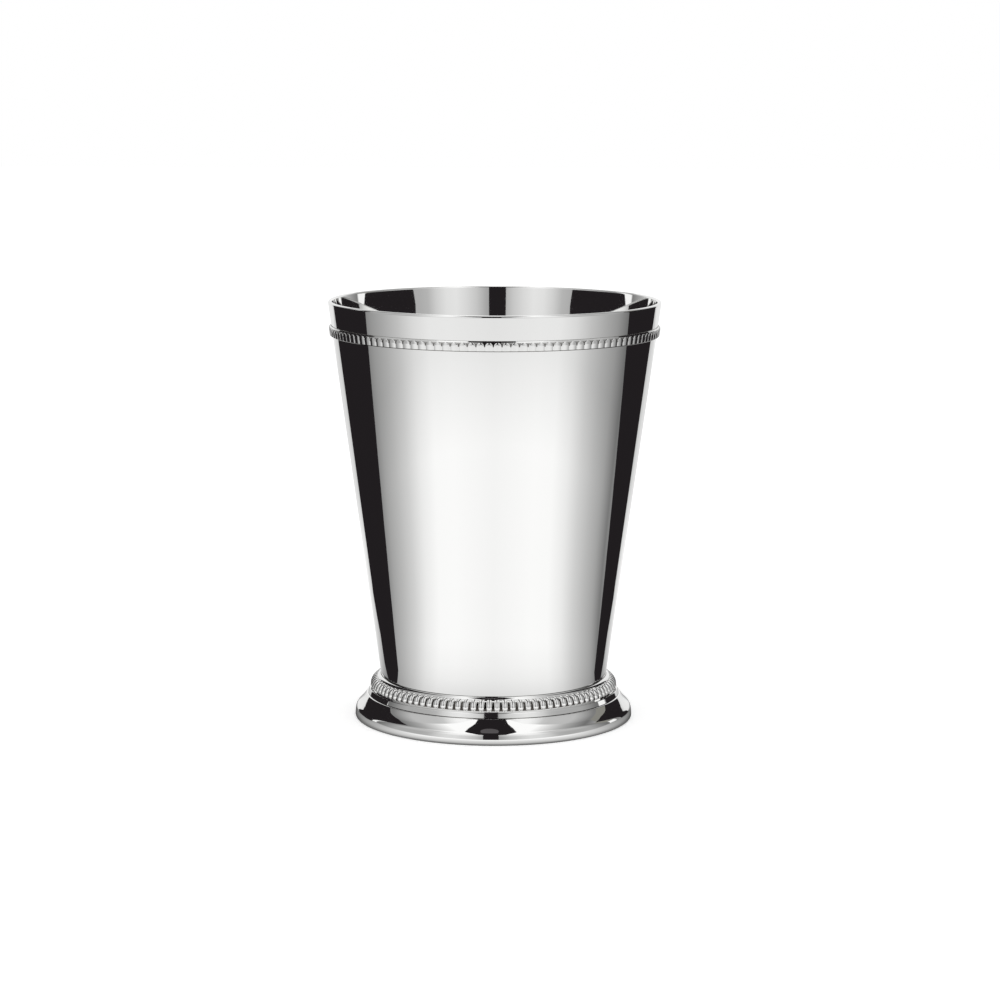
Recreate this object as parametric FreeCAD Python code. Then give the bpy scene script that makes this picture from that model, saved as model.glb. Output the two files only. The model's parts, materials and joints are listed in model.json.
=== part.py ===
"""Footed julep cup: a conical beaker, a beaded band, and a spun foot with a beaded shoulder.

Millimetres. The origin is the middle of the circle that the cup stands on, and +Z is up along
its axis. Every piece is turned about that axis, and the two rows of beads repeat round it.
"""
import FreeCAD, Part
import math
import os

ORIGIN = FreeCAD.Vector(0, 0, 0)
UP = FreeCAD.Vector(0, 0, 1)
FULL_TURN = 360.0
HALF_TURN = 180.0
RIGHT_ANGLE = 90.0
FRONT = -90.0

# Beaker: one drawn wall with a full-round lip
cup_height = 108.0
rim_radius = 42.5
wall = 1.1
floor_thickness = 1.2
base_corner = 3.0

# Waist: where the wall disappears behind the lip of the bead ring
waist_radius = 29.2
waist_above_foot = 4.8

# Solder films between the pieces
film = 0.15
solder_inset = 0.3

# Upper band: a bevelled strip with one row of flat-crowned beads, hung from the rim
band_drop = 7.55
strip_thickness = 0.26
strip_edge = 0.3
upper_bevel_height = 0.3
upper_bevel_depth = 0.2
lower_bevel = 0.12
bead_width = 1.84
bead_gap = 0.28
bead_rise = 0.34
bead_sink = 0.08
bead_crown_angle = 16.0
bead_start_share = 0.4

# Bead ring: a half-round shoulder with cross beads, a round collar inside it and a plain fillet
collar_radius = 1.0
collar_top_above_foot = 4.88
collar_low_angle = -10.0
collar_high_angle = 81.0
shoulder_reach = 2.75
shoulder_radius = 2.1
shoulder_above_foot = 2.05
rib_width = 1.7
rib_gap = 0.33
rib_stand = 0.5
rib_low_angle = 8.0
rib_high_angle = 70.0
rib_start_share = 0.5
floor_turn = 75.0
fillet_height = 1.2
fillet_step = 0.22
fillet_edge = 0.08
fillet_angle = 20.0

# Foot: a spun flare with a skirt, a turned-in hem and a flange under the beaker
foot_height = 6.15
sheet = 0.9
foot_step = 0.11
foot_edge_round = 0.3
cove_radius = 9.1
cove_top_angle = 27.15
cove_foot_angle = 49.0
shoulder_turn_radius = 1.92
skirt_angle = 10.6
hem_round = 0.45
hem_width = 2.6
flange_seat = 2.2


def step(point, heading, length):
    """The point that lies a length away from another, along a heading in degrees."""
    angle = math.radians(heading)
    return (point[0] + length * math.cos(angle), point[1] + length * math.sin(angle))


def place(point):
    """A profile's point, given as radius and height, in space."""
    return FreeCAD.Vector(point[0], 0, point[1])


class Outline:
    """A closed profile in the plane of the radius and the height, drawn as lines and bends."""

    def __init__(self, start):
        self.start = start
        self.end = start
        self.heading = 0.0
        self.edges = []

    def line(self, point):
        """Draws a straight edge to a point, and heads along it."""
        self.edges.append(Part.makeLine(place(self.end), place(point)))
        rise = point[1] - self.end[1]
        self.heading = math.degrees(math.atan2(rise, point[0] - self.end[0]))
        self.end = point

    def bend(self, turn, radius):
        """Draws an arc that leaves along the heading and turns left by the given degrees."""
        side = math.copysign(RIGHT_ANGLE, turn)
        centre = step(self.end, self.heading + side, radius)
        middle = step(centre, self.heading - side + turn / 2, radius)
        finish = step(centre, self.heading - side + turn, radius)
        self.edges.append(Part.Arc(place(self.end), place(middle), place(finish)).toShape())
        self.heading += turn
        self.end = finish

    def face(self):
        """Closes the profile back to its start."""
        self.line(self.start)
        return Part.Face(Part.Wire(self.edges))

    def turned(self):
        return self.face().revolve(ORIGIN, UP, FULL_TURN)

    def sector(self, angle):
        """The profile turned through one pitch, half of it each side of the XZ plane."""
        face = self.face()
        face.rotate(ORIGIN, UP, -angle / 2)
        return face.revolve(ORIGIN, UP, angle)


def pitch_for(radius, width, gap):
    """The angle of one bead and its gap, such that a whole number of them goes round."""
    return FULL_TURN / round(2 * math.pi * radius / (width + gap))


def repeat_round(sector, pitch, start_share):
    """Sews copies of a sector, without its two cut faces, into one closed ring.

    The first copy stands a share of a pitch past the front.
    """
    skin = []
    for face in sector.Faces:
        middle = face.CenterOfMass
        azimuth = abs(math.degrees(math.atan2(middle.y, middle.x)))
        if not math.isclose(azimuth, pitch / 2, rel_tol=1e-6):
            skin.append(face)
    copies = []
    for number in range(round(FULL_TURN / pitch)):
        for face in skin:
            copy = face.copy()
            copy.rotate(ORIGIN, UP, FRONT + pitch * (number + start_share))
            copies.append(copy)
    ring = Part.makeCompound(copies)
    ring.sewShape()
    return Part.Solid(ring.Shells[0])


# The wall's outer line runs from the waist, and touches the round of the lip
waist_height = foot_height + waist_above_foot
lip_round = wall / 2
lip_centre = (rim_radius - lip_round, cup_height - lip_round)
lip_out = lip_centre[0] - waist_radius
lip_up = lip_centre[1] - waist_height
lip_distance = math.hypot(lip_out, lip_up)
taper = math.degrees(math.atan2(lip_out, lip_up) + math.asin(lip_round / lip_distance))


def beside_wall(height, out):
    """The point at a height that lies out from the wall's outer line, square to it."""
    angle = math.radians(taper)
    on_line = waist_radius + (height - waist_height) * math.tan(angle)
    return (on_line + out / math.cos(angle), height)


# The beaker's flat underside ends where its corner begins
underside = foot_height + film
corner_turn = RIGHT_ANGLE - taper
corner_share = math.tan(math.radians(corner_turn / 2))
flat_radius = beside_wall(underside, 0)[0] - base_corner * corner_share


def make_beaker():
    """Flat floor, round corner, straight cone, full-round lip, and back down inside."""
    floor_top = underside + floor_thickness
    inner_corner = base_corner - wall
    inner_run = inner_corner * corner_share
    outline = Outline((0, underside))
    outline.line((flat_radius, underside))
    outline.bend(corner_turn, base_corner)
    outline.line(step(lip_centre, -taper, lip_round))
    outline.bend(HALF_TURN, lip_round)
    corner_top = floor_top + inner_run * math.cos(math.radians(taper))
    outline.line(beside_wall(corner_top, -wall))
    outline.bend(-corner_turn, inner_corner)
    outline.line((0, floor_top))
    return outline.turned()


def strip(low, high, inner, outer):
    """A thin strip along the wall, between two heights and two distances from it."""
    outline = Outline(beside_wall(low, inner))
    outline.line(beside_wall(low, outer))
    outline.line(beside_wall(high, outer))
    outline.line(beside_wall(high, inner))
    return outline


# The upper band's place on the wall
band_middle = cup_height - band_drop
band_low = band_middle - bead_width / 2 - strip_edge
band_high = band_middle + bead_width / 2 + strip_edge
band_face = film + strip_thickness


def make_bead():
    """A low crown with a round edge, about the line square to the wall, sunk in the strip."""
    base = beside_wall(band_middle, band_face - bead_sink)
    height = bead_rise + bead_sink
    reach = bead_width / 2
    across = math.sin(math.radians(bead_crown_angle))
    along = math.cos(math.radians(bead_crown_angle))

    # The crown's arc and the edge's arc together reach the width and the height
    both = across * along - (1 - across) * (1 - along)
    crown_radius = (reach * along - height * (1 - across)) / both
    edge_radius = (height * across - reach * (1 - along)) / both
    crown = step(base, -taper, height)
    outline = Outline(crown)
    outline.heading = RIGHT_ANGLE - taper
    outline.bend(bead_crown_angle, crown_radius)
    outline.bend(RIGHT_ANGLE - bead_crown_angle, edge_radius)
    outline.line(base)
    return outline.face().revolve(place(base), place(crown) - place(base), FULL_TURN)


def make_upper_bead_band():
    """The strip, bevelled along both edges, with its row of beads."""
    pitch = pitch_for(beside_wall(band_middle, band_face)[0], bead_width, bead_gap)
    outline = Outline(beside_wall(band_low, film))
    outline.line(beside_wall(band_low, band_face - lower_bevel))
    outline.line(beside_wall(band_low + lower_bevel, band_face))
    outline.line(beside_wall(band_high - upper_bevel_height, band_face))
    outline.line(beside_wall(band_high, band_face - upper_bevel_depth))
    outline.line(beside_wall(band_high, film))
    return repeat_round(outline.sector(pitch).fuse(make_bead()), pitch, bead_start_share)


def make_upper_band_solder():
    return strip(band_low, band_high, 0, film).turned()


# The shoulder is a circle round a point above the foot, and the collar stands inside it
shoulder_centre = (waist_radius + shoulder_reach - shoulder_radius, foot_height + shoulder_above_foot)
shoulder_floor = shoulder_radius - rib_stand
collar_top = beside_wall(foot_height + collar_top_above_foot, film)
collar_centre = step(collar_top, collar_high_angle + HALF_TURN, collar_radius)
fillet_radius = waist_radius + shoulder_reach + fillet_step
fillet_foot_radius = fillet_radius + fillet_height * math.tan(math.radians(fillet_angle))


def make_rib():
    """One long bead: a round bar bent over the shoulder, with ball ends."""
    rib_round = rib_width / 2
    path = shoulder_radius - rib_round
    low = place(step(shoulder_centre, rib_low_angle, path))
    high = place(step(shoulder_centre, rib_high_angle, path))
    centre = place(shoulder_centre)
    across = FreeCAD.Vector(0, -1, 0)
    disc = Part.Face(Part.Wire(Part.makeCircle(rib_round, low, across.cross(low - centre))))
    bar = disc.revolve(centre, across, rib_high_angle - rib_low_angle)
    return bar.fuse([Part.makeSphere(rib_round, low), Part.makeSphere(rib_round, high)])


def make_bead_ring():
    """Seat on the foot, plain fillet, ledge, shoulder floor, and the collar against the wall."""
    pitch = pitch_for(waist_radius + shoulder_reach, rib_width, rib_gap)
    ledge = foot_height + fillet_height + fillet_edge
    floor_radius = shoulder_centre[0] + shoulder_floor
    outline = Outline(beside_wall(foot_height, film))
    outline.line((fillet_foot_radius, foot_height))
    outline.line((fillet_radius, ledge - fillet_edge))
    outline.line((fillet_radius - fillet_edge, ledge))
    outline.line((floor_radius, ledge))
    outline.line((floor_radius, shoulder_centre[1]))
    outline.bend(floor_turn, shoulder_floor)
    outline.line(step(collar_centre, collar_low_angle, collar_radius))
    outline.heading = collar_low_angle + RIGHT_ANGLE
    outline.bend(collar_high_angle - collar_low_angle, collar_radius)
    return repeat_round(outline.sector(pitch).fuse(make_rib()), pitch, rib_start_share)


def make_bead_ring_solder():
    """The film on the wall, from the top of the beaker's corner up to the collar's top."""
    return strip(underside + base_corner, collar_top[1] - solder_inset, 0, film).turned()


# The foot's two levels of radius
foot_ledge_radius = fillet_foot_radius + foot_step
flange_bore = flat_radius - flange_seat


def make_foot():
    """Flange, ledge under the bead ring, cove, shoulder, skirt, hem, and back up inside."""
    flange_under = foot_height - sheet
    outline = Outline((flange_bore, foot_height))
    outline.line((foot_ledge_radius, foot_height))

    # Outer face, down to the table
    outline.bend(cove_top_angle - RIGHT_ANGLE, foot_edge_round)
    cove_centre = step(outline.end, outline.heading + RIGHT_ANGLE, cove_radius)
    outline.bend(cove_foot_angle - cove_top_angle, cove_radius)
    outline.bend(skirt_angle - cove_foot_angle, shoulder_turn_radius)
    inner_skirt_top = step(outline.end, outline.heading - RIGHT_ANGLE, sheet)
    skirt_drop = outline.end[1] - hem_round
    outline.bend(-skirt_angle, skirt_drop / math.sin(math.radians(skirt_angle)))
    skirt_radius = outline.end[0]
    outline.bend(-RIGHT_ANGLE, hem_round)

    # Hem, turned in along the table
    outline.line((skirt_radius - hem_width, 0))
    outline.line((skirt_radius - hem_width, sheet))
    outline.line((skirt_radius - sheet, sheet))
    outline.line(inner_skirt_top)

    # Inner face, parallel to the outer one, up to the flange
    outline.heading = skirt_angle + RIGHT_ANGLE
    outline.bend(cove_foot_angle - skirt_angle, shoulder_turn_radius - sheet)
    inner_cove = cove_radius + sheet
    flange_lean = math.degrees(math.asin((cove_centre[1] - flange_under) / inner_cove))
    outline.bend(flange_lean - cove_foot_angle, inner_cove)
    outline.line((flange_bore, flange_under))
    return outline.turned()


def make_foot_solder():
    """The film between the foot's flange and the beaker's flat underside."""
    outline = Outline((flange_bore + solder_inset, foot_height))
    outline.line((flat_radius - solder_inset, foot_height))
    outline.line((flat_radius - solder_inset, underside))
    outline.line((flange_bore + solder_inset, underside))
    return outline.turned()


PIECES = {
    "beaker": make_beaker,
    "upper_bead_band": make_upper_bead_band,
    "upper_band_solder": make_upper_band_solder,
    "bead_ring": make_bead_ring,
    "bead_ring_solder": make_bead_ring_solder,
    "foot": make_foot,
    "foot_solder": make_foot_solder,
}

os.makedirs("parts", exist_ok=True)
for node, make in PIECES.items():
    shape = make()
    shape.exportStep("parts/" + node + ".step")
    print(node, "solids", len(shape.Solids), "volume", round(shape.Volume, 2))
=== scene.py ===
"""Dresses a footed julep cup in bright silver plate, and photographs it on a white studio table.

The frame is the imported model's: +Z is up along the cup's axis, and -Y is the front. Places and
lengths are metres, but the pieces' sizes and the black cards are in millimetres. Angles are in
degrees.
"""
import json
import logging
import math
from dataclasses import dataclass, field
from enum import Enum

import bmesh
import bpy
from mathutils import Matrix, Vector


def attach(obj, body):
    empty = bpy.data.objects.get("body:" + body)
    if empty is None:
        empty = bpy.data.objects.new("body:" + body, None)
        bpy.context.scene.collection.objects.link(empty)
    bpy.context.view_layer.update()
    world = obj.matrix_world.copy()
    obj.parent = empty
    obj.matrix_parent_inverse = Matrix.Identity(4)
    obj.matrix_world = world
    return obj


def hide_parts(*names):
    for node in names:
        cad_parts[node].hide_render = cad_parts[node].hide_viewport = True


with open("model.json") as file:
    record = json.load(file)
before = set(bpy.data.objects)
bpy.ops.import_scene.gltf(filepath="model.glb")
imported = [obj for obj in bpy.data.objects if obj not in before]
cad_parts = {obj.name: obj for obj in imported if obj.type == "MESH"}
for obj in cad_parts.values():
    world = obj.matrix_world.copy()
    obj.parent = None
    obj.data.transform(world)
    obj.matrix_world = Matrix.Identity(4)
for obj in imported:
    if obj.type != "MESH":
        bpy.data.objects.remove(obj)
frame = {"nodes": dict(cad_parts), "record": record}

logging.basicConfig(level=logging.INFO, format="%(name)s: %(message)s")
log = logging.getLogger("julep_cup")

Point = tuple[float, float]
Colour = tuple[float, float, float, float]
Stops = tuple[tuple[float, float], ...]

MM = 0.001
BODY = "root"
RIGHT_ANGLE = 90.0
HALF_TURN = 180.0
FULL_TURN = 360.0
UP = (0, 0, 1)
ORIGIN = (0, 0, 0)
WHITE = (1.0, 1.0, 1.0, 1.0)
EVEN = ((0.0, 1.0), (1.0, 1.0))
MERGE = 0.0005 * MM
SHARP_TURN = 40.0


class Slot(Enum):
    """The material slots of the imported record."""

    BRIGHT = "bright_plate"
    BEADED = "beaded_plate"
    SOLDER = "solder"


class Ray(Enum):
    """The rays that a surface tells apart, as named by the Light Path node."""

    CAMERA = "Is Camera Ray"
    GLOSSY = "Is Glossy Ray"


def srgb(code: str) -> Colour:
    """Turns an sRGB hex colour into a linear colour with full alpha.

    Args:
        code: Six hex digits, such as "f2f0ea".

    Returns:
        Linear red, green, blue and alpha.
    """
    linear = []
    for start in (0, 2, 4):
        value = int(code[start:start + 2], 16) / 255
        linear.append(value / 12.92 if value <= 0.04045 else ((value + 0.055) / 1.055) ** 2.4)
    return (*linear, 1.0)


def add_node(
    tree: bpy.types.NodeTree,
    kind: str,
    sockets: dict[str, object] | list[object] | None = None,
    **settings: object,
) -> bpy.types.Node:
    """Adds a node, sets its properties and fills or links its input sockets.

    Args:
        tree: The node tree that gets the node.
        kind: The node's type name without the word ShaderNode.
        sockets: What goes into its inputs, by name or in their order: a value, an output
            socket, or a node, whose first output is meant.
        settings: Values of the node's own properties.

    Returns:
        The new node.
    """
    node = tree.nodes.new("ShaderNode" + kind)
    for name, value in settings.items():
        setattr(node, name, value)
    inputs = sockets if isinstance(sockets, dict) else dict(enumerate(sockets or ()))
    for name, value in inputs.items():
        source = value.outputs[0] if isinstance(value, bpy.types.Node) else value
        if isinstance(source, bpy.types.NodeSocket):
            tree.links.new(source, node.inputs[name])
        else:
            node.inputs[name].default_value = source
    return node


def new_material(name: str) -> tuple[bpy.types.Material, bpy.types.NodeTree]:
    """Makes a material with an empty node tree.

    Args:
        name: The material's name.

    Returns:
        The material and its node tree.
    """
    material = bpy.data.materials.new(name)
    material.use_nodes = True
    material.node_tree.nodes.clear()
    return material, material.node_tree


def bare_metal(
    tree: bpy.types.NodeTree,
    colour: Colour | bpy.types.NodeSocket,
    roughness: float | bpy.types.Node,
    pattern: bpy.types.Node,
    height: float,
) -> None:
    """Ends a material's tree in bare metal, with its surface raised by a pattern.

    Args:
        tree: The material's node tree.
        colour: The metal's colour, or the output socket that gives it.
        roughness: Its roughness, or the node that gives it.
        pattern: The node that gives the pattern.
        height: How far the pattern raises the surface.
    """
    bump = add_node(tree, "Bump", {"Height": pattern, "Distance": height, "Strength": 1.0})
    shader = add_node(
        tree,
        "BsdfPrincipled",
        {"Base Color": colour, "Metallic": 1.0, "Roughness": roughness, "Normal": bump},
    )
    add_node(tree, "OutputMaterial", {"Surface": shader})


def new_object(name: str, shape: bmesh.types.BMesh) -> bpy.types.Object:
    """Puts a shape into the scene as an object at the origin.

    Args:
        name: The object's name.
        shape: Its shape, which this uses up.

    Returns:
        The new object.
    """
    mesh = bpy.data.meshes.new(name)
    shape.to_mesh(mesh)
    shape.free()
    piece = bpy.data.objects.new(name, mesh)
    bpy.context.scene.collection.objects.link(piece)
    return piece


@dataclass(frozen=True)
class SilverPlate:
    """Silver plate over brass, buffed to a mirror: white, and almost without haze.

    The wheel leaves a very shallow waviness that bends the edges of reflections, and a faint
    haze that runs round the cup, in lines drawn coarser than the wheel's own so that they show.
    """

    name: str = "silver_plate_buffed"
    colour: str = "fcfcfb"
    roughness: float = 0.02
    haze: float = 0.03
    haze_line: float = 0.6 * MM
    haze_run: float = 12 * MM
    haze_detail: float = 3.0
    haze_starts: float = 0.35
    haze_full: float = 0.75
    wave_length: float = 14 * MM
    wave_height: float = 0.004 * MM
    wave_detail: float = 1.0

    def tint(self, tree: bpy.types.NodeTree) -> Colour | bpy.types.NodeSocket:
        """The plate's colour, the same all over."""
        return srgb(self.colour)

    def material(self) -> bpy.types.Material:
        """Builds the finish.

        Returns:
            The material.
        """
        material, tree = new_material(self.name)
        place = add_node(tree, "TexCoord").outputs["Object"]
        scale = (1 / self.haze_run, 1 / self.haze_run, 1 / self.haze_line)
        drawn = add_node(tree, "Mapping", {"Vector": place, "Scale": scale})
        lines = add_node(
            tree, "TexNoise", {"Vector": drawn, "Scale": 1.0, "Detail": self.haze_detail}
        )
        rough = add_node(
            tree,
            "MapRange",
            {
                "Value": lines,
                "From Min": self.haze_starts,
                "From Max": self.haze_full,
                "To Min": self.roughness,
                "To Max": self.roughness + self.haze,
            },
        )
        waves = add_node(
            tree,
            "TexNoise",
            {"Vector": place, "Scale": 1 / self.wave_length, "Detail": self.wave_detail},
        )
        bare_metal(tree, self.tint(tree), rough, waves, self.wave_height)
        return material


@dataclass(frozen=True, kw_only=True)
class GapShadedPlate(SilverPlate):
    """Silver plate over struck beads: bright on the crowns, with grey painted shade in the gaps.

    The grey is painted shade, standing in for the dark deep between the beads, so how grey the
    plate is depends on how far it stands out of the recesses.
    """

    roughness: float = 0.04
    gap_shade: str
    shade_depth: float
    bright_depth: float

    def reach(
        self, tree: bpy.types.NodeTree
    ) -> tuple[bpy.types.NodeSocket, bpy.types.NodeSocket]:
        """Where a point lies on the cup's section.

        Args:
            tree: The node tree.

        Returns:
            The output sockets of its distance from the cup's axis and of its height.
        """
        place = add_node(tree, "TexCoord").outputs["Object"]
        parts = add_node(tree, "SeparateXYZ", [place])
        across = add_node(tree, "CombineXYZ", [parts.outputs["X"], parts.outputs["Y"]])
        length = add_node(tree, "VectorMath", [across], operation="LENGTH")
        return length.outputs["Value"], parts.outputs["Z"]

    def depth(self, tree: bpy.types.NodeTree) -> bpy.types.NodeSocket:
        """How far a point stands out, which each trim's plate measures in its own way."""
        raise NotImplementedError

    def tint(self, tree: bpy.types.NodeTree) -> Colour | bpy.types.NodeSocket:
        """Grey painted shade in the recesses, and the plate's own colour on the crowns.

        Args:
            tree: The node tree.

        Returns:
            The output socket of the colour.
        """
        stands_out = add_node(
            tree,
            "MapRange",
            {"Value": self.depth(tree), "From Min": self.shade_depth, "From Max": self.bright_depth},
            interpolation_type="SMOOTHSTEP",
        )
        shades = add_node(tree, "ValToRGB", {"Fac": stands_out})
        dull, bright = shades.color_ramp.elements
        # Painted shade: the grey that the recesses get.
        dull.color = srgb(self.gap_shade)
        bright.color = srgb(self.colour)
        return shades.outputs["Color"]


@dataclass(frozen=True, kw_only=True)
class BandPlate(GapShadedPlate):
    """The upper band's plate: grey painted shade deep between its beads, and a painted shadow line
    along its foot.

    The depth is measured out from the solder film, square to the wall's outer line, and counts
    for more away from the beads' middle, because the strip falls back above it and the gaps end
    below it. It is held low along the strip's foot, and rises fast up the bevel at its top.
    """

    name: str = "silver_plate_bead_band"
    # Grey of the painted shade in the gaps and along the strip's foot.
    gap_shade: str = "7a7774"
    shade_depth: float = 0.47 * MM
    bright_depth: float = 0.5 * MM
    line_radius: float
    line_height: float
    lean: float
    film: float
    middle: float
    slope: float = 0.24
    bevel_foot: float = 101.35 * MM
    bevel_gain: float = 6.0
    strip_foot: float = 99.23 * MM
    foot_gain: float = 4.0

    def depth(self, tree: bpy.types.NodeTree) -> bpy.types.NodeSocket:
        """Measures the depth.

        Args:
            tree: The node tree.

        Returns:
            Its output socket.
        """
        radius, height = self.reach(tree)
        angle = math.radians(self.lean)
        rise = add_node(tree, "Math", [height, self.line_height], operation="SUBTRACT")
        line = add_node(
            tree, "Math", [rise, math.tan(angle), self.line_radius], operation="MULTIPLY_ADD"
        )
        beyond = add_node(tree, "Math", [radius, line], operation="SUBTRACT")
        out = add_node(tree, "Math", [beyond, math.cos(angle), -self.film], operation="MULTIPLY_ADD")
        from_middle = add_node(tree, "Math", [height, self.middle], operation="SUBTRACT")
        away = add_node(tree, "Math", [from_middle], operation="ABSOLUTE")
        face = add_node(tree, "Math", [away, self.slope, out], operation="MULTIPLY_ADD")
        above = add_node(tree, "Math", [height, self.bevel_foot], operation="SUBTRACT")
        bevel = add_node(tree, "Math", [above, self.bevel_gain], operation="MULTIPLY")
        # Held low along the strip's foot: a painted shadow line under the band.
        over_foot = add_node(tree, "Math", [height, self.strip_foot], operation="SUBTRACT")
        foot = add_node(tree, "Math", [over_foot, self.foot_gain], operation="MULTIPLY")
        upper = add_node(tree, "Math", [face, bevel], operation="MAXIMUM")
        return add_node(tree, "Math", [foot, upper], operation="MINIMUM").outputs[0]


@dataclass(frozen=True, kw_only=True)
class RingPlate(GapShadedPlate):
    """The shoulder ring's plate: dark grey painted shade between its long beads and along its seat.

    The depth is measured from the circle that the shoulder is rounded about, and is held low
    along the seat.
    """

    name: str = "silver_plate_shoulder_ring"
    # Dark grey of the painted shade in the gaps and along the seat.
    gap_shade: str = "4e4a47"
    shade_depth: float = 1.62 * MM
    bright_depth: float = 1.71 * MM
    centre_radius: float
    centre_height: float
    seat: float
    seat_gain: float = 14.0

    def depth(self, tree: bpy.types.NodeTree) -> bpy.types.NodeSocket:
        """Measures the depth.

        Args:
            tree: The node tree.

        Returns:
            Its output socket.
        """
        radius, height = self.reach(tree)
        out = add_node(tree, "Math", [radius, self.centre_radius], operation="SUBTRACT")
        up = add_node(tree, "Math", [height, self.centre_height], operation="SUBTRACT")
        out_square = add_node(tree, "Math", [out, out], operation="MULTIPLY")
        square = add_node(tree, "Math", [up, up, out_square], operation="MULTIPLY_ADD")
        distance = add_node(tree, "Math", [square], operation="SQRT")
        # Held low along the seat: a painted shadow line where the ring sits on the foot.
        above = add_node(tree, "Math", [height, self.seat], operation="SUBTRACT")
        foot = add_node(tree, "Math", [above, self.seat_gain], operation="MULTIPLY")
        return add_node(tree, "Math", [foot, distance], operation="MINIMUM").outputs[0]


@dataclass(frozen=True)
class SoftSolder:
    """Tin solder wiped off and left dull: grey, matt, and slightly grainy."""

    name: str = "tin_solder_dull"
    colour: str = "b4b3af"
    roughness: float = 0.45
    grain: float = 0.25 * MM
    grain_height: float = 0.01 * MM
    grain_detail: float = 3.0

    def material(self) -> bpy.types.Material:
        """Builds the finish.

        Returns:
            The material.
        """
        material, tree = new_material(self.name)
        place = add_node(tree, "TexCoord").outputs["Object"]
        grain = add_node(
            tree,
            "TexNoise",
            {"Vector": place, "Scale": 1 / self.grain, "Detail": self.grain_detail},
        )
        bare_metal(tree, srgb(self.colour), self.roughness, grain, self.grain_height)
        return material


def out_from_axis(angle: float, reach: float) -> Vector:
    """The place on the table that lies a reach from the cup's axis, an angle from the front."""
    turn = math.radians(angle)
    return Vector((math.sin(turn), -math.cos(turn), 0)) * reach


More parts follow.
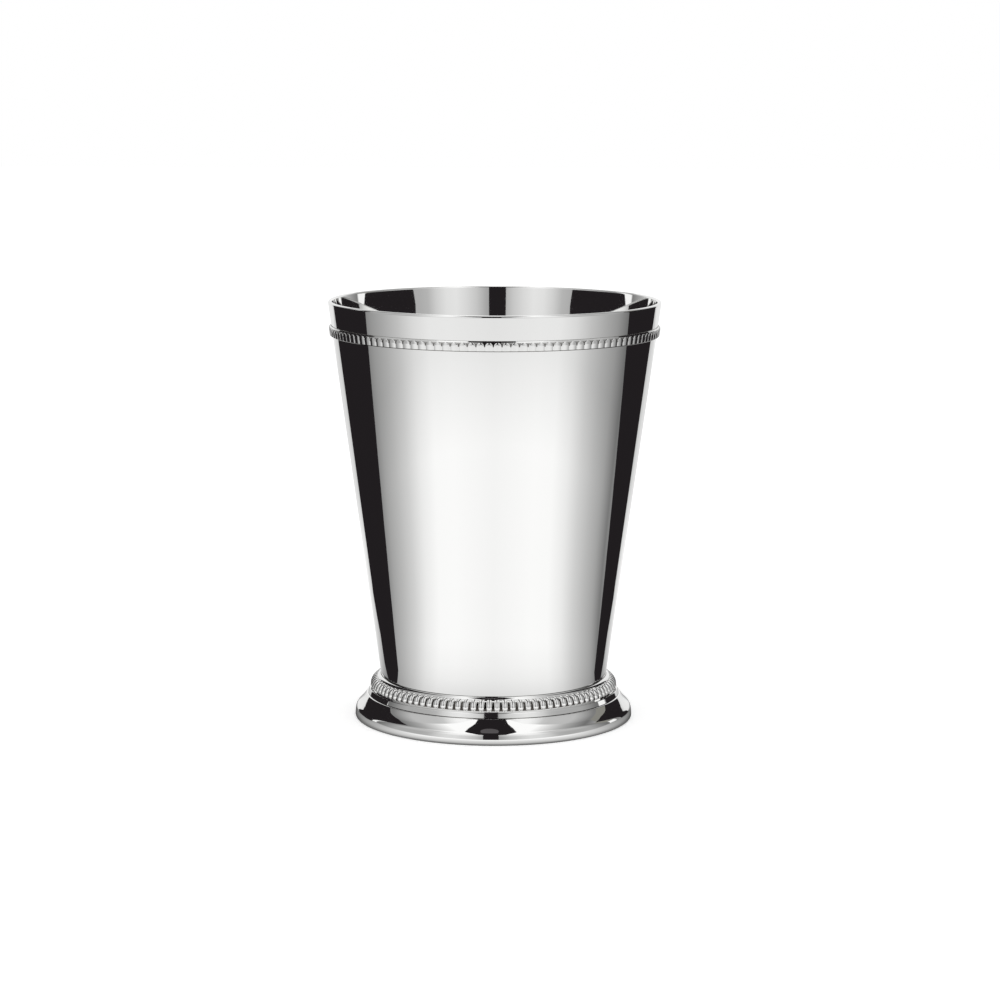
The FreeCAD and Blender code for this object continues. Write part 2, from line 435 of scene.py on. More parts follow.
@dataclass
class Studio:
    """A white table in a tent of white sheets, with a bent black card close to each side.

    The sheets and cards only show in the metal. The camera looks in through a slot between the
    sheets, and the slot widens where it runs on over the cup. A dim disc above the slot is the
    grey spot in the foot's dark middle, and a grey sheet stands before the back sheet's right
    end. Each card stands on the table, and leans towards the camera, with its foot turned in a
    little towards the cup.

    A light is graded by pairs of degrees away from the front and linear light. A lift or a fall
    is pairs of a length and a factor on that light, up to the graded reach.
    """

    black: str = "211e20"
    graded_reach: float = 1.0
    table_reach: float = 3.0
    # Painted light on the table as metal sees it: bright in front, darker towards the sides.
    table_painted_light: Stops = (
        (0, 0.93), (30, 0.985), (44, 0.975), (56, 0.85), (68, 0.64), (80, 0.49), (92, 0.37),
        (104, 0.19), (116, 0.34), (128, 0.50), (142, 0.69), (154, 0.90), (168, 0.98),
    )
    # Painted shade on the table as metal sees it: a contact shadow round the foot, darker far off.
    table_painted_shade: Stops = (
        (0.0, 0.03), (0.0352, 0.05), (0.0362, 0.25), (0.038, 0.52), (0.042, 0.68),
        (0.052, 0.81), (0.058, 0.89), (0.066, 0.95), (0.08, 1.0), (0.21, 1.0), (0.30, 0.84),
        (0.60, 0.78),
    )
    shadow_lift: float = 0.22
    front_light: Stops = (
        (6, 0.33), (14, 0.51), (22, 0.63), (30, 0.72), (38, 0.70), (46, 0.59), (53, 0.44),
        (60, 0.40), (85, 0.38), (106, 0.16),
    )
    front_lift: Stops = ((0.0, 1.0), (0.14, 1.0), (0.32, 1.3))
    slot_shift: Vector = field(default_factory=lambda: Vector((-0.022, 0, 0)))
    wall_foot: Vector = field(default_factory=lambda: Vector((0.076, -0.700, 0.0)))
    wall_head: Vector = field(default_factory=lambda: Vector((0.072, -0.600, 0.500)))
    wall_side: Vector = field(default_factory=lambda: Vector((0.640, 0.230, 0.0)))
    wall_side_head: Vector = field(default_factory=lambda: Vector((0.600, 0.230, 0.500)))
    roof_light: Stops = ((0, 1.0), (56, 1.0), (70, 0.72), (88, 0.40), (108, 0.16), (128, 0.45))
    roof_slot_left: float = 0.135
    roof_slot_right: float = 0.110
    roof_reach: float = 0.64
    slot_end: float = -0.06
    back_light: Stops = (
        (106, 0.92), (120, 0.92), (121.5, 0.2), (136, 0.42), (150, 0.8), (180, 0.9)
    )
    back_radius: float = 0.68
    back_start: float = 106.0
    back_height: float = 0.5
    spin_steps: int = 48
    shade_reach: float = 0.63
    shade_start: float = 109.0
    shade_end: float = 121.0
    shade_foot: float = 0.19
    shade_grey: str = "86857f"
    disc_place: Vector = field(default_factory=lambda: Vector((-0.020, -0.180, 0.550)))
    disc_radius: float = 0.05
    disc_grey: str = "555254"
    turn_in: float = 10.0
    turn_in_lift: float = 0.2
    card_left: tuple[Point, ...] = ((60, -1), (58.5, 16), (66, 36), (82, 61), (100, 112))
    card_left_top: tuple[tuple[float, float, float], ...] = (
        (75.2, -24.8, 120), (76, -20, 131), (88, 40, 124), (97, 66, 119), (100, 78, 112)
    )
    card_right: tuple[Point, ...] = ((58, 9), (56.5, 23), (66, 42), (82, 66), (100, 106))
    card_right_top: tuple[tuple[float, float, float], ...] = (
        (77, -19.3, 120), (78, -14, 131), (90, 40, 124), (97, 66, 119), (100, 78, 112)
    )

    def stage(self, name: str, shape: bmesh.types.BMesh, material: bpy.types.Material) -> None:
        """Turns a shape into a sheet or card that only reflections show.

        Args:
            name: Its name.
            shape: Its shape, which this uses up.
            material: What it shows.
        """
        card = new_object(name, shape)
        card.data.materials.append(material)
        card.visible_camera = False
        card.visible_diffuse = False
        card.visible_shadow = False

    def flat(self, name: str, corners: list[Vector], material: bpy.types.Material) -> None:
        """Makes one flat sheet.

        Args:
            name: The sheet's name.
            corners: Its corners, in order round its edge.
            material: What it shows.
        """
        shape = bmesh.new()
        shape.faces.new([shape.verts.new(corner) for corner in corners])
        self.stage(name, shape, material)

    def overhead(
        self,
        name: str,
        sides: tuple[float, float],
        ends: tuple[float, float],
        material: bpy.types.Material,
    ) -> None:
        """Makes a level sheet at the tent's height.

        Args:
            name: The sheet's name.
            sides: How far to the right its two sides are.
            ends: How far back its two ends are.
            material: What it shows.
        """
        (side, other), (near, far) = sides, ends
        corners = [(side, near), (other, near), (other, far), (side, far)]
        self.flat(name, [Vector((x, y, self.wall_head.z)) for x, y in corners], material)

    def bent(
        self, name: str, low: list[Vector], high: list[Vector], material: bpy.types.Material
    ) -> None:
        """Makes a card bent between its lower and its upper edge.

        Args:
            name: The card's name.
            low: The points of its lower edge.
            high: The points of its upper edge, from the same end.
            material: What it shows.
        """
        shape = bmesh.new()
        edges = []
        for points in (low, high):
            verts = [shape.verts.new(point) for point in points]
            edges += [shape.edges.new(pair) for pair in zip(verts, verts[1:])]
        bmesh.ops.bridge_loops(shape, edges=edges)
        self.stage(name, shape, material)

    def azimuth(self, tree: bpy.types.NodeTree) -> bpy.types.NodeSocket:
        """The angle round the cup, in degrees away from the front, on either side.

        Args:
            tree: The node tree.

        Returns:
            The angle's output socket.
        """
        place = add_node(tree, "TexCoord").outputs["Object"]
        parts = add_node(tree, "SeparateXYZ", [place])
        front = add_node(tree, "Math", [parts.outputs["Y"], -1.0], operation="MULTIPLY")
        side = add_node(tree, "Math", [parts.outputs["X"]], operation="ABSOLUTE")
        angle = add_node(tree, "Math", [side, front], operation="ARCTAN2")
        return add_node(tree, "Math", [angle], operation="DEGREES").outputs[0]

    def distance(self, tree: bpy.types.NodeTree) -> bpy.types.NodeSocket:
        """The distance from the cup's axis, along the table."""
        place = add_node(tree, "TexCoord").outputs["Object"]
        return add_node(tree, "VectorMath", [place], operation="LENGTH").outputs["Value"]

    def height(self, tree: bpy.types.NodeTree) -> bpy.types.NodeSocket:
        """The height above the table."""
        place = add_node(tree, "TexCoord").outputs["Object"]
        return add_node(tree, "SeparateXYZ", [place]).outputs["Z"]

    def ramp(
        self, tree: bpy.types.NodeTree, value: bpy.types.NodeSocket, span: float, stops: Stops
    ) -> bpy.types.NodeSocket:
        """Grades a brightness with a value.

        Args:
            tree: The node tree.
            value: What it is graded by.
            span: The value at the ramp's end. The ramp starts at zero.
            stops: Pairs of a value and a grey level, as linear light.

        Returns:
            The colour's output socket.
        """
        share = add_node(tree, "Math", [value, span], operation="DIVIDE", use_clamp=True)
        node = add_node(tree, "ValToRGB", {"Fac": share})
        points = node.color_ramp.elements
        while len(points) < len(stops):
            points.new(1.0)
        for point, (place, level) in zip(points, stops):
            point.position = place / span
            point.color = (level, level, level, 1.0)
        return node.outputs["Color"]

    def graded(
        self,
        tree: bpy.types.NodeTree,
        light: Stops,
        length: bpy.types.NodeSocket,
        factors: Stops,
    ) -> bpy.types.Node:
        """Grades a light round the cup and along a length.

        Args:
            tree: The node tree.
            light: Pairs of degrees away from the front and light.
            length: The length's output socket.
            factors: Pairs of the length and a factor on the light.

        Returns:
            A node whose first output is the colour.
        """
        round_cup = self.ramp(tree, self.azimuth(tree), HALF_TURN, light)
        along = self.ramp(tree, length, self.graded_reach, factors)
        return add_node(tree, "VectorMath", [round_cup, along], operation="MULTIPLY")

    def glow(self, name: str, light: Stops, lift: Stops = EVEN) -> bpy.types.Material:
        """A sheet that glows by its angle round the cup and its height.

        Args:
            name: The material's name.
            light: Pairs of degrees away from the front and light.
            lift: Pairs of height and a factor on that light.

        Returns:
            The material.
        """
        material, tree = new_material(name)
        colour = self.graded(tree, light, self.height(tree), lift)
        shine = add_node(tree, "Emission", {"Color": colour, "Strength": 1.0})
        add_node(tree, "OutputMaterial", {"Surface": shine})
        return material

    def plain_glow(self, name: str, colour: Colour) -> bpy.types.Material:
        """A sheet or card that glows in one even colour.

        Args:
            name: The material's name.
            colour: The colour, as linear light.

        Returns:
            The material.
        """
        material, tree = new_material(name)
        shine = add_node(tree, "Emission", {"Color": colour, "Strength": 1.0})
        add_node(tree, "OutputMaterial", {"Surface": shine})
        return material

    def table_paper(self) -> bpy.types.Material:
        """White paper: it takes the cup's shadow and is white to the camera. In metal it shows
        painted light that darkens towards the sides and far off, and a painted contact shadow round
        the foot.

        Returns:
            The material.
        """
        material, tree = new_material("studio_white_paper")
        rays = add_node(tree, "LightPath")
        # In metal the table shows painted light and a painted contact shadow round the foot.
        colour = self.graded(tree, self.table_painted_light, self.distance(tree), self.table_painted_shade)
        seen = add_node(tree, "Emission", {"Color": colour, "Strength": 1.0})
        paper = add_node(tree, "BsdfDiffuse", {"Color": WHITE})
        to_camera = rays.outputs[Ray.CAMERA.value]
        lift = add_node(tree, "Math", [to_camera, self.shadow_lift], operation="MULTIPLY")
        glow = add_node(tree, "Emission", {"Strength": lift})
        lit = add_node(tree, "AddShader", [paper, glow])
        both = add_node(tree, "MixShader", [rays.outputs[Ray.GLOSSY.value], lit, seen])
        add_node(tree, "OutputMaterial", {"Surface": both})
        return material

    def build_table(self) -> None:
        """The table top, a large square with the cup in its middle."""
        shape = bmesh.new()
        bmesh.ops.create_grid(shape, x_segments=1, y_segments=1, size=self.table_reach)
        table = new_object("table", shape)
        table.data.materials.append(self.table_paper())

    def build_front_and_roof(self) -> None:
        """The front sheets beside the slot, the roof sheets beside it, and the one behind it."""
        front = self.glow("tent_front_sheet", self.front_light, self.front_lift)
        roof = self.glow("tent_roof_sheet", self.roof_light)
        for side, name, slot in (
            (-1, "left", self.roof_slot_left),
            (1, "right", self.roof_slot_right),
        ):
            flip = Matrix.Diagonal((side, 1, 1))
            wall = [
                flip @ self.wall_foot + self.slot_shift,
                flip @ self.wall_side,
                flip @ self.wall_side_head,
                flip @ self.wall_head + self.slot_shift,
            ]
            self.flat("front_sheet_" + name, wall, front)
            sides = (side * slot, side * self.roof_reach)
            self.overhead("roof_sheet_" + name, sides, (self.wall_head.y, self.roof_reach), roof)
        sides = (-self.roof_slot_left, self.roof_slot_right)
        white = self.plain_glow("tent_back_roof", WHITE)
        self.overhead("roof_sheet_middle", sides, (self.slot_end, self.roof_reach), white)

    def build_disc(self) -> None:
        """The dim disc above the slot."""
        shape = bmesh.new()
        bmesh.ops.create_circle(
            shape,
            cap_ends=True,
            segments=self.spin_steps,
            radius=self.disc_radius,
            matrix=Matrix.Translation(self.disc_place),
        )
        grey = self.plain_glow("dim_ceiling_disc", srgb(self.disc_grey))
        self.stage("ceiling_disc", shape, grey)

    def build_side(self) -> None:
        """The grey sheet to the right, in front of the back sheet's end."""
        start = out_from_axis(self.shade_start, self.shade_reach)
        end = out_from_axis(self.shade_end, self.shade_reach)
        low, high = (Vector((0, 0, height)) for height in (self.shade_foot, self.back_height))
        corners = [start + low, end + low, end + high, start + high]
        self.flat("side_sheet", corners, self.plain_glow("grey_side_sheet", srgb(self.shade_grey)))

    def build_back(self) -> None:
        """The back sheet, which bends round behind the cup from its right to its left."""
        start = out_from_axis(self.back_start, self.back_radius)
        shape = bmesh.new()
        low = shape.verts.new(start)
        high = shape.verts.new(start + Vector((0, 0, self.back_height)))
        edge = shape.edges.new((low, high))
        bmesh.ops.spin(
            shape,
            geom=[low, high, edge],
            axis=UP,
            cent=ORIGIN,
            angle=2 * math.radians(HALF_TURN - self.back_start),
            steps=self.spin_steps,
        )
        self.stage("back_sheet", shape, self.glow("tent_back_sheet", self.back_light))

    def build_cards(self) -> None:
        """The two black cards beside the cup, and the strips of them that turn in at the foot."""
        black = self.plain_glow("studio_black_card", srgb(self.black))
        lift = Vector((0, 0, self.turn_in_lift)) * MM
        for side, name, foot, head in (
            (-1, "left", self.card_left, self.card_left_top),
            (1, "right", self.card_right, self.card_right_top),
        ):
            low = [Vector((side * x, y, 0)) * MM for x, y in foot]
            high = [Vector((side * x, y, z)) * MM for x, y, z in head]
            self.bent("black_card_" + name, low, high, black)
            near = [point - point.normalized() * self.turn_in * MM for point in low]
            self.bent(
                "black_strip_" + name,
                [point + lift for point in near],
                [point + lift for point in low],
                black,
            )

    def build_world(self) -> None:
        """White behind the cup, a dark room in its metal, and soft light from all round."""
        world = bpy.data.worlds.new("studio_room")
        bpy.context.scene.world = world
        world.use_nodes = True
        tree = world.node_tree
        tree.nodes.clear()
        rays = add_node(tree, "LightPath")
        soft = add_node(tree, "Background", {"Color": WHITE, "Strength": 1.0})
        dark = add_node(tree, "Background", {"Color": srgb(self.black), "Strength": 1.0})
        room = add_node(tree, "MixShader", [rays.outputs[Ray.GLOSSY.value], soft, dark])
        add_node(tree, "OutputWorld", {"Surface": room})

    def build(self) -> None:
        """Sets up the whole studio."""
        self.build_world()
        self.build_table()
        self.build_front_and_roof()
        self.build_disc()
        self.build_side()
        self.build_back()
        self.build_cards()
        log.info("studio: table, tent and black cards")


@dataclass
class StudioCamera:
    """The camera that the photograph was taken with, as found from the cup's own ellipses."""

    place: Vector = field(default_factory=lambda: Vector((1.655, -754.1, 176.7)) * MM)
    look_down: float = 9.08
    roll: float = 0.209
    focal_length: float = 106.62
    sensor: float = 36.0
    centre_shift: float = 0.0005

    def build(self) -> None:
        """Makes the camera and the plain view that it is seen in."""
        data = bpy.data.cameras.new("studio_camera")
        data.lens = self.focal_length
        data.sensor_width = self.sensor
        data.shift_x = -self.centre_shift
        data.shift_y = self.centre_shift
        camera = bpy.data.objects.new("studio_camera", data)
        tilt = Matrix.Rotation(math.radians(RIGHT_ANGLE - self.look_down), 4, "X")
        roll = Matrix.Rotation(math.radians(self.roll), 4, "Z")
        camera.matrix_world = Matrix.Translation(self.place) @ tilt @ roll
        bpy.context.scene.collection.objects.link(camera)
        bpy.context.scene.camera = camera
        bpy.context.scene.view_settings.view_transform = "Standard"
        log.info("camera: %.0f mm lens, %.2f m away", self.focal_length, self.place.length)


class Profile:
    """A line in the plane of the radius and the height, drawn by runs and bends, in millimetres.

    All but the shortest runs have a point close to each of their ends, so that smooth shading
    bends only there.
    """

    close: float = 0.06
    shortest_split: float = 0.18
    fewest_steps: int = 3

    def __init__(self, radius: float, height: float, arc_step: float = 7.5) -> None:
        """Starts the line, heading outwards.

        Args:
            radius: Its first point's radius.
            height: Its first point's height.
            arc_step: How far an arc may turn between two points, in degrees.
        """
        self.points: list[Point] = [(radius, height)]
        self.heading = 0.0
        self.arc_step = arc_step

    @property
    def end(self) -> Point:
        """Where the line has got to."""
        return self.points[-1]

    def run(self, point: Point) -> None:
        """Draws a straight run to a point, and heads along it.

        Args:
            point: Radius and height.
        """
        start = Vector(self.end)
        way = Vector(point) - start
        for share in (self.close / way.length, 1 - self.close / way.length):
            if way.length > self.shortest_split:
                self.points.append(tuple(start + way * share))
        self.points.append(point)
        self.heading = math.degrees(math.atan2(way.y, way.x))

    def bend(self, turn: float, radius: float) -> None:
        """Draws an arc that leaves along the heading.

        Args:
            turn: How far it turns, in degrees, to the left.
            radius: The arc's radius.
        """
        side = math.copysign(RIGHT_ANGLE, turn)
        centre = step(self.end, self.heading + side, radius)
        count = max(self.fewest_steps, math.ceil(abs(turn) / self.arc_step))
        for number in range(1, count + 1):
            angle = self.heading - side + turn * number / count
            self.points.append(step(centre, angle, radius))
        self.heading += turn

    def turned(self, steps: int, closed: bool) -> bmesh.types.BMesh:
        """Turns the line about the cup's axis.

        Args:
            steps: How many steps go round.
            closed: Whether the line's end joins its start.

        Returns:
            The turned shape.
        """
        shape = bmesh.new()
        verts = [shape.verts.new(in_space(point)) for point in self.points]
        edges = [shape.edges.new(pair) for pair in zip(verts, verts[1:])]
        if closed:
            edges.append(shape.edges.new((verts[-1], verts[0])))
        bmesh.ops.spin(
            shape,
            geom=verts + edges,
            axis=UP,
            cent=ORIGIN,
            angle=math.radians(FULL_TURN),
            steps=steps,
            use_merge=True,
        )
        return shape


def step(point: Point, heading: float, length: float) -> Point:
    """The point that lies a length away from another, along a heading in degrees."""
    angle = math.radians(heading)
    return (point[0] + length * math.cos(angle), point[1] + length * math.sin(angle))


def in_space(point: Point) -> Vector:
    """A point's place in metres, at azimuth zero, from its radius and height in millimetres."""
    return Vector((point[0], 0, point[1])) * MM


def closed_skin(shape: bmesh.types.BMesh) -> None:
    """Merges a shape's doubled points, and turns its faces outwards."""
    bmesh.ops.remove_doubles(shape, verts=shape.verts, dist=MERGE)
    bmesh.ops.recalc_face_normals(shape, faces=shape.faces)


def add_round(
    whole: bmesh.types.BMesh, single: bmesh.types.BMesh, count: int, start_share: float
) -> None:
    """Adds copies of a small shape to a larger one, evenly round the cup's axis.

    Args:
        whole: The shape that gets the copies.
        single: The small shape at azimuth zero, which this uses up.
        count: How many copies go round.
        start_share: How far past the front the first one stands, as a share of the pitch.
    """
    pitch = FULL_TURN / count
    turn = Matrix.Rotation(math.radians(start_share * pitch - RIGHT_ANGLE), 3, "Z")
    bmesh.ops.rotate(single, cent=ORIGIN, matrix=turn, verts=single.verts)
    bmesh.ops.spin(
        single,
        geom=single.verts[:] + single.edges[:] + single.faces[:],
        axis=UP,
        cent=ORIGIN,
        angle=math.radians(FULL_TURN - pitch),
        steps=count - 1,
        use_duplicate=True,
    )
    mesh = bpy.data.meshes.new("copies")
    single.to_mesh(mesh)
    single.free()
    whole.from_mesh(mesh)
    bpy.data.meshes.remove(mesh)


def finished(name: str, shape: bmesh.types.BMesh) -> bpy.types.Object:
    """Makes a piece of a shape, shaded smooth except at its sharp edges.

    Args:
        name: The new piece's name.
        shape: The shape, which this uses up.

    Returns:
        The piece.
    """
    for face in shape.faces:
        face.smooth = True
    piece = new_object(name, shape)
    piece.data.set_sharp_from_angle(angle=math.radians(SHARP_TURN))
    return piece


@dataclass
class Beaker:
    """The drawn beaker: flat floor, round corner, straight wall and full-round lip."""

    height: float = 108.0
    rim_radius: float = 42.5
    wall: float = 1.1
    floor: float = 1.2
    corner: float = 3.0
    underside: float = 6.3
    waist_radius: float = 29.2
    waist_height: float = 10.95
    steps: int = 384

    @property
    def lip_centre(self) -> Point:
        """The middle of the lip's round."""
        return (self.rim_radius - self.wall / 2, self.height - self.wall / 2)

    @property
    def taper(self) -> float:
        """The lean of the wall's outer line, which starts at the waist and touches the lip.

        Returns:
            The lean from upright, in degrees.
        """
        out = self.lip_centre[0] - self.waist_radius
        rise = self.lip_centre[1] - self.waist_height
        touch = math.asin(self.wall / 2 / math.hypot(out, rise))
        return math.degrees(math.atan2(out, rise) + touch)

    def beside(self, height: float, out: float) -> Point:
        """Finds the point at a height that lies out from the wall's outer line.

        Args:
            height: The point's height.
            out: How far out it lies, square to the line.

        Returns:
            The point.
        """
        angle = math.radians(self.taper)
        on_line = self.waist_radius + (height - self.waist_height) * math.tan(angle)
        return (on_line + out / math.cos(angle), height)

    def build(self) -> bpy.types.Object:
        """Makes the beaker.

        Returns:
            The piece.
        """
        turn = RIGHT_ANGLE - self.taper
        corner_share = math.tan(math.radians(turn / 2))
        floor_top = self.underside + self.floor
        inner_corner = self.corner - self.wall
        inner_run = inner_corner * corner_share
        line = Profile(0, self.underside)
        line.run((self.beside(self.underside, 0)[0] - self.corner * corner_share, self.underside))
        line.bend(turn, self.corner)
        line.run(step(self.lip_centre, -self.taper, self.wall / 2))
        line.bend(HALF_TURN, self.wall / 2)
        corner_top = floor_top + inner_run * math.cos(math.radians(self.taper))
        line.run(self.beside(corner_top, -self.wall))
        line.bend(-turn, inner_corner)
        line.run((0, floor_top))
        shape = line.turned(self.steps, closed=False)
        closed_skin(shape)
        return finished("beaker_wall", shape)


@dataclass
class UpperBand:
    """The strip below the rim, thinner towards its upper edge, with its row of low beads."""

    beaker: Beaker
    film: float = 0.15
    thickness: float = 0.46
    middle: float = 100.45
    edge: float = 0.3
    slope_depth: float = 0.2
    upper_bevel_height: float = 0.32
    upper_bevel_depth: float = 0.22
    lower_bevel: float = 0.12
    bead_width: float = 1.98
    bead_rise: float = 0.15
    bead_sink: float = 0.1
    bead_tail: float = 1.1
    bead_arc_step: float = 24.0
    crown_angle: float = 16.0
    beads: int = 125
    start_share: float = 0.4
    bead_steps: int = 16
    steps: int = 375

    def bead(self) -> bmesh.types.BMesh:
        """One bead at azimuth zero: a low crown, round above and running out at the strip's foot.

        Returns:
            The closed shape.
        """
        height = self.bead_rise + self.bead_sink
        reach = self.bead_width / 2
        across = math.sin(math.radians(self.crown_angle))
        along = math.cos(math.radians(self.crown_angle))
        # With these radii the crown's arc and the flank's end upright, at the bead's edge.
        both = across * along - (1 - across) * (1 - along)
        crown_radius = (reach * along - height * (1 - across)) / both
        flank_radius = (height * across - reach * (1 - along)) / both
        line = Profile(0, height, self.bead_arc_step)
        line.bend(-self.crown_angle, crown_radius)
        line.bend(self.crown_angle - RIGHT_ANGLE, flank_radius)
        line.points.append((0, 0))
        shape = line.turned(self.bead_steps, closed=False)
        bmesh.ops.remove_doubles(shape, verts=shape.verts, dist=MERGE)
        everything = shape.verts[:] + shape.edges[:] + shape.faces[:]
        bmesh.ops.bisect_plane(
            shape, geom=everything, plane_co=ORIGIN, plane_no=(1, 0, 0), clear_outer=True
        )
        open_edges = [edge for edge in shape.edges if edge.is_boundary]
        grown = bmesh.ops.extrude_edge_only(shape, edges=open_edges)["geom"]
        verts = [part for part in grown if isinstance(part, bmesh.types.BMVert)]
        bmesh.ops.translate(shape, vec=(self.bead_tail * MM, 0, 0), verts=verts)
        bmesh.ops.holes_fill(shape, edges=[edge for edge in shape.edges if edge.is_boundary])
        closed_skin(shape)
        lean = Matrix.Rotation(math.radians(RIGHT_ANGLE + self.beaker.taper), 4, "Y")
        base = in_space(self.beaker.beside(self.middle, self.film + self.thickness - self.bead_sink))
        shape.transform(Matrix.Translation(base) @ lean)
        return shape

    def build(self) -> bpy.types.Object:
        """Makes the band.

        Returns:
            The piece.
        """
        face = self.film + self.thickness
        low = self.middle - self.bead_width / 2 - self.edge
        high = self.middle + self.bead_width / 2 + self.edge
        line = Profile(*self.beaker.beside(low, self.film))
        for height, out in (
            (low, face - self.lower_bevel),
            (low + self.lower_bevel, face),
            (self.middle, face),
            (high - self.upper_bevel_height, face - self.slope_depth),
            (high, face - self.slope_depth - self.upper_bevel_depth),
            (high, self.film),
        ):
            line.run(self.beaker.beside(height, out))
        shape = line.turned(self.steps, closed=True)
        closed_skin(shape)
        add_round(shape, self.bead(), self.beads, self.start_share)
        return finished("bead_band", shape)

    def plate(self) -> BandPlate:
        """The band's plate, with its depths measured from the band's own places.

        Returns:
            The finish.
        """
        return BandPlate(
            line_radius=self.beaker.waist_radius * MM,
            line_height=self.beaker.waist_height * MM,
            lean=self.beaker.taper,
            film=self.film * MM,
            middle=self.middle * MM,
        )


@dataclass
class ShoulderRing:
    """The ring on the foot: fillet, shoulder with long cross beads, and the round collar."""

    beaker: Beaker
    film: float = 0.15
    seat: float = 6.15
    centre: Point = (29.85, 8.2)
    bar_centre: Point = (29.8, 8.4)
    floor: float = 1.6
    floor_turn: float = 75.0
    fillet_radius: float = 32.17
    fillet_height: float = 1.2
    fillet_edge: float = 0.08
    fillet_angle: float = 20.0
    collar_radius: float = 1.0
    collar_top: float = 11.03
    collar_low_angle: float = -10.0
    collar_high_angle: float = 81.0
    bar_width: float = 1.7
    bar_path: float = 1.29
    bar_low_angle: float = -1.2
    bar_high_angle: float = 80.0
    bars: int = 99
    start_share: float = 0.5
    bar_steps: int = 14
    bend_steps: int = 5
    end_steps: int = 4
    steps: int = 396

    def round_end(
        self,
        shape: bmesh.types.BMesh,
        edges: list[bmesh.types.BMEdge],
        centre: Vector,
        heading: Vector,
    ) -> None:
        """Closes a bar's open end with half a ball.

        Args:
            shape: The bar.
            edges: The edges round its open end.
            centre: The ball's middle.
            heading: The way that the end faces, one metre long.
        """
        radius = self.bar_width / 2 * MM
        turns = [
            math.radians(RIGHT_ANGLE * number / self.end_steps)
            for number in range(self.end_steps + 1)
        ]
        for before, after in zip(turns, turns[1:]):
            grown = bmesh.ops.extrude_edge_only(shape, edges=edges)["geom"]
            verts = [part for part in grown if isinstance(part, bmesh.types.BMVert)]
            edges = [part for part in grown if isinstance(part, bmesh.types.BMEdge)]
            shift = heading * radius * (math.sin(after) - math.sin(before))
            bmesh.ops.translate(shape, vec=shift, verts=verts)
            middle = centre + heading * radius * math.sin(after)
            factor = math.cos(after) / math.cos(before)
            space = Matrix.Translation(-middle)
            bmesh.ops.scale(shape, vec=(factor, factor, factor), space=space, verts=verts)

    def bar(self) -> bmesh.types.BMesh:
        """One long bead at azimuth zero: a round bar bent over the shoulder, with ball ends.

        Returns:
            The closed shape.
        """
        shape = bmesh.new()
        start = in_space(step(self.bar_centre, self.bar_low_angle, self.bar_path))
        finish = in_space(step(self.bar_centre, self.bar_high_angle, self.bar_path))
        upright = Matrix.Rotation(math.radians(-self.bar_low_angle), 4, "Y")
        ring = bmesh.ops.create_circle(
            shape,
            segments=self.bar_steps,
            radius=self.bar_width / 2 * MM,
            matrix=Matrix.Translation(start) @ upright,
        )["verts"]
        first = shape.edges[:]
        swept = bmesh.ops.spin(
            shape,
            geom=ring + first,
            axis=(0, -1, 0),
            cent=in_space(self.bar_centre),
            angle=math.radians(self.bar_high_angle - self.bar_low_angle),
            steps=self.bend_steps,
        )["geom_last"]
        last = [part for part in swept if isinstance(part, bmesh.types.BMEdge)]
        for edges, middle, angle in (
            (first, start, self.bar_low_angle - RIGHT_ANGLE),
            (last, finish, self.bar_high_angle + RIGHT_ANGLE),
        ):
            turn = math.radians(angle)
            self.round_end(shape, edges, middle, Vector((math.cos(turn), 0, math.sin(turn))))
        closed_skin(shape)
        return shape

    def build(self) -> bpy.types.Object:
        """Makes the ring.

        Returns:
            The piece.
        """
        ledge = self.seat + self.fillet_height + self.fillet_edge
        fillet_run = self.fillet_height * math.tan(math.radians(self.fillet_angle))
        collar_end = self.beaker.beside(self.collar_top, self.film)
        collar_centre = step(collar_end, self.collar_high_angle + HALF_TURN, self.collar_radius)
        line = Profile(*self.beaker.beside(self.seat, self.film))
        line.run((self.fillet_radius + fillet_run, self.seat))
        line.run((self.fillet_radius, ledge - self.fillet_edge))
        line.run((self.fillet_radius - self.fillet_edge, ledge))
        line.run((self.centre[0] + self.floor, ledge))
        line.run((self.centre[0] + self.floor, self.centre[1]))
        line.bend(self.floor_turn, self.floor)
        line.run(step(collar_centre, self.collar_low_angle, self.collar_radius))
        line.heading = self.collar_low_angle + RIGHT_ANGLE
        line.bend(self.collar_high_angle - self.collar_low_angle, self.collar_radius)
        shape = line.turned(self.steps, closed=True)
        closed_skin(shape)
        add_round(shape, self.bar(), self.bars, self.start_share)
        return finished("shoulder_ring", shape)

    def plate(self) -> RingPlate:
        """The ring's plate, with its depths measured from the ring's own places.

        Returns:
            The finish.
        """
        return RingPlate(
            centre_radius=self.centre[0] * MM, centre_height=self.centre[1] * MM, seat=self.seat * MM
        )


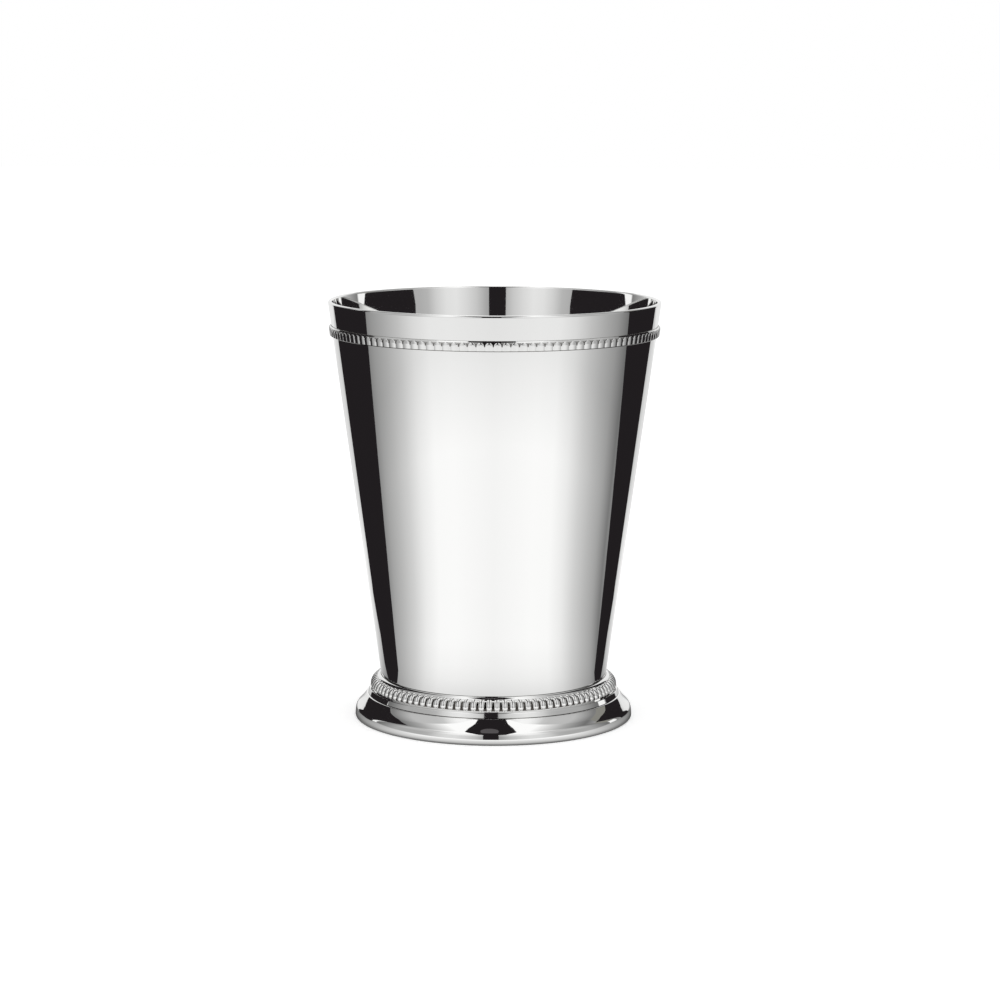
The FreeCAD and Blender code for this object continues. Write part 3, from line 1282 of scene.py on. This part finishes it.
@dataclass
class Foot:
    """The spun foot: flange, ledge, cove, shoulder, skirt and turned-in hem."""

    height: float = 6.15
    sheet: float = 0.9
    bore: float = 23.744
    ledge_radius: float = 32.717
    edge_round: float = 0.3
    cove_radius: float = 9.1
    cove_top_angle: float = 27.15
    cove_foot_angle: float = 49.0
    shoulder_radius: float = 1.92
    skirt_angle: float = 10.6
    hem_round: float = 0.45
    hem_width: float = 2.6
    steps: int = 384

    def build(self) -> bpy.types.Object:
        """Makes the foot.

        Returns:
            The piece.
        """
        under = self.height - self.sheet
        line = Profile(self.bore, self.height)
        line.run((self.ledge_radius, self.height))
        line.bend(self.cove_top_angle - RIGHT_ANGLE, self.edge_round)
        centre_height = step(line.end, line.heading + RIGHT_ANGLE, self.cove_radius)[1]
        line.bend(self.cove_foot_angle - self.cove_top_angle, self.cove_radius)
        line.bend(self.skirt_angle - self.cove_foot_angle, self.shoulder_radius)
        inner_top = step(line.end, line.heading - RIGHT_ANGLE, self.sheet)
        drop = line.end[1] - self.hem_round
        line.bend(-self.skirt_angle, drop / math.sin(math.radians(self.skirt_angle)))
        skirt = line.end[0]
        line.bend(-RIGHT_ANGLE, self.hem_round)
        line.run((skirt - self.hem_width, 0))
        line.run((skirt - self.hem_width, self.sheet))
        line.run((skirt - self.sheet, self.sheet))
        line.run(inner_top)
        line.heading = self.skirt_angle + RIGHT_ANGLE
        line.bend(self.cove_foot_angle - self.skirt_angle, self.shoulder_radius - self.sheet)
        inner_cove = self.cove_radius + self.sheet
        lean = math.degrees(math.asin((centre_height - under) / inner_cove))
        line.bend(lean - self.cove_foot_angle, inner_cove)
        line.run((self.bore, under))
        shape = line.turned(self.steps, closed=True)
        closed_skin(shape)
        return finished("foot_flare", shape)


@dataclass
class JulepCup:
    """The whole cup: its pieces, which share the beaker's sizes, and their finishes."""

    beaker: Beaker = field(default_factory=Beaker)
    foot: Foot = field(default_factory=Foot)
    bright: SilverPlate = field(default_factory=SilverPlate)
    solder: SoftSolder = field(default_factory=SoftSolder)

    def dress_solder(self) -> None:
        """Gives the solder films their finish."""
        solder = self.solder.material()
        for row in frame["record"]["subparts"]:
            if row["material_slot"] == Slot.SOLDER.value:
                piece = frame["nodes"][row["node"]]
                piece.data.materials.clear()
                piece.data.materials.append(solder)
                log.info("%s: %s", row["node"], solder.name)

    def build(self) -> None:
        """Makes the four plated pieces in place of their plain nodes, and finishes all of them."""
        self.dress_solder()
        band = UpperBand(self.beaker)
        ring = ShoulderRing(self.beaker)
        bright = self.bright.material()
        for node, slot, maker, finish in (
            ("beaker", Slot.BRIGHT, self.beaker, bright),
            ("upper_bead_band", Slot.BEADED, band, band.plate().material()),
            ("bead_ring", Slot.BEADED, ring, ring.plate().material()),
            ("foot", Slot.BRIGHT, self.foot, bright),
        ):
            piece = maker.build()
            piece.data.materials.append(finish)
            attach(piece, BODY)
            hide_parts(node)
            log.info("%s: %d faces, %s", piece.name, len(piece.data.polygons), finish.name)


def main() -> None:
    """Builds the studio and the cup."""
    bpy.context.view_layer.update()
    StudioCamera().build()
    Studio().build()
    JulepCup().build()


if __name__ == "__main__":
    main()
